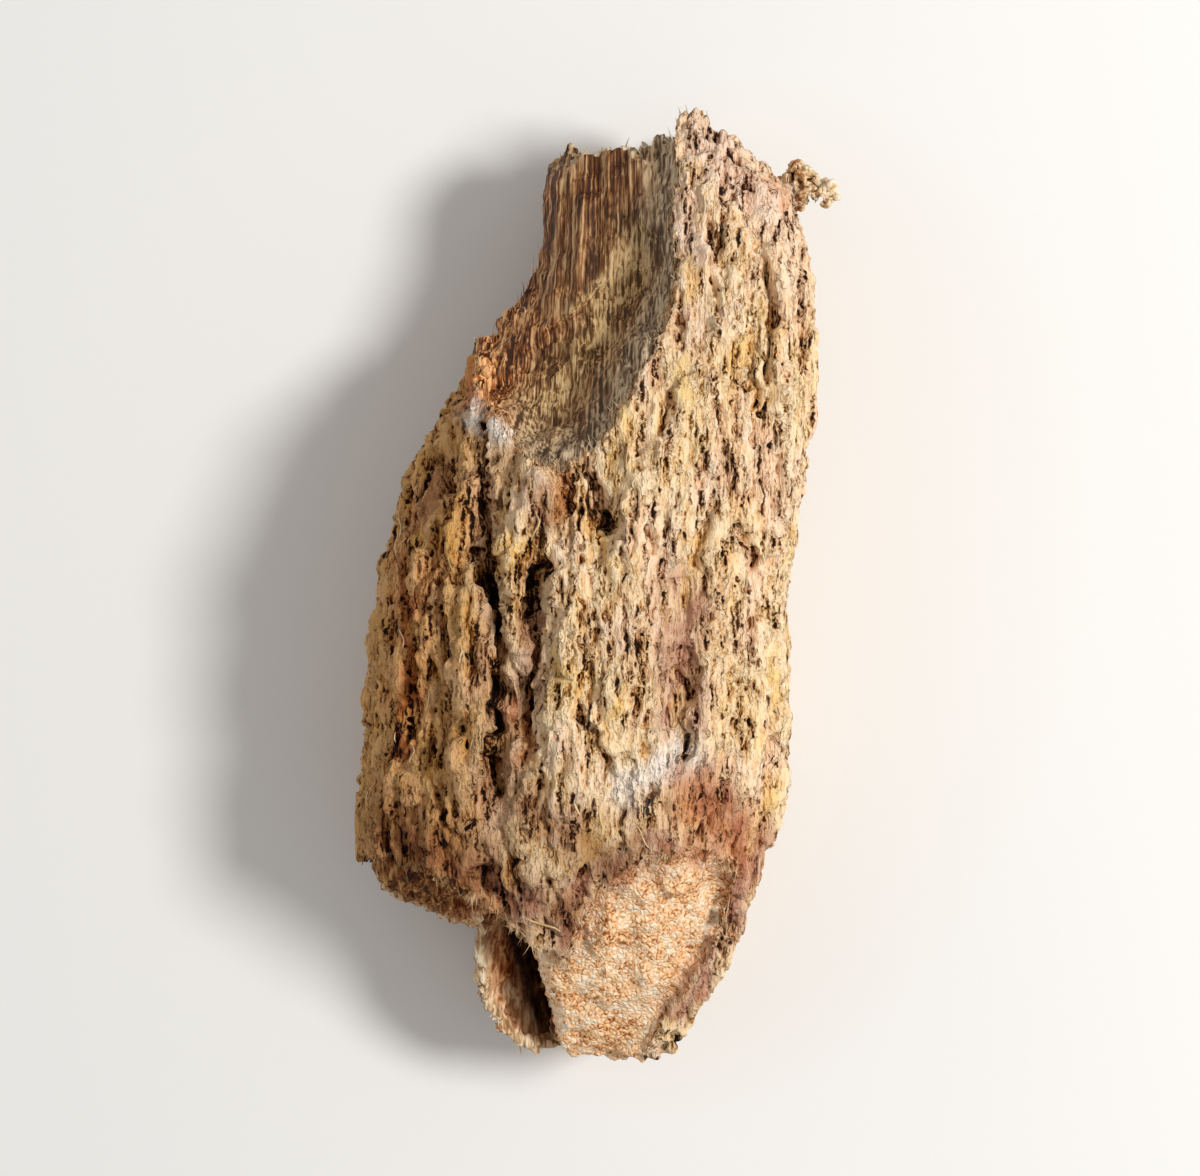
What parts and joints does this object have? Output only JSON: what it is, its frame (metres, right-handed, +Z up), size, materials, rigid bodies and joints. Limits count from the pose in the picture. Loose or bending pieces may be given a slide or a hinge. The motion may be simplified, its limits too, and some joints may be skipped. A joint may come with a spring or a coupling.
{
  "type": "dried devils claw root chip",
  "caption": "Chip of dried storage root lying on its flat cut face: furrowed bark over the crown, a torn strip of bare wood, a cork patch and a curled flake.",
  "frame": {"origin": "middle of the chip's plan, on the flat cut face that it rests on", "axes": "+Y along the root from the foot with the cork patch to the head with the torn bark, +Z up through the bark, +X to the right as seen from above"},
  "size_m": [0.0082, 0.0158, 0.0055],
  "materials": {
    "dried_root": "dry, matte, rough"
  },
  "bodies": {
    "root": {"root_chip": "dried_root"}
  },
  "joints": []
}
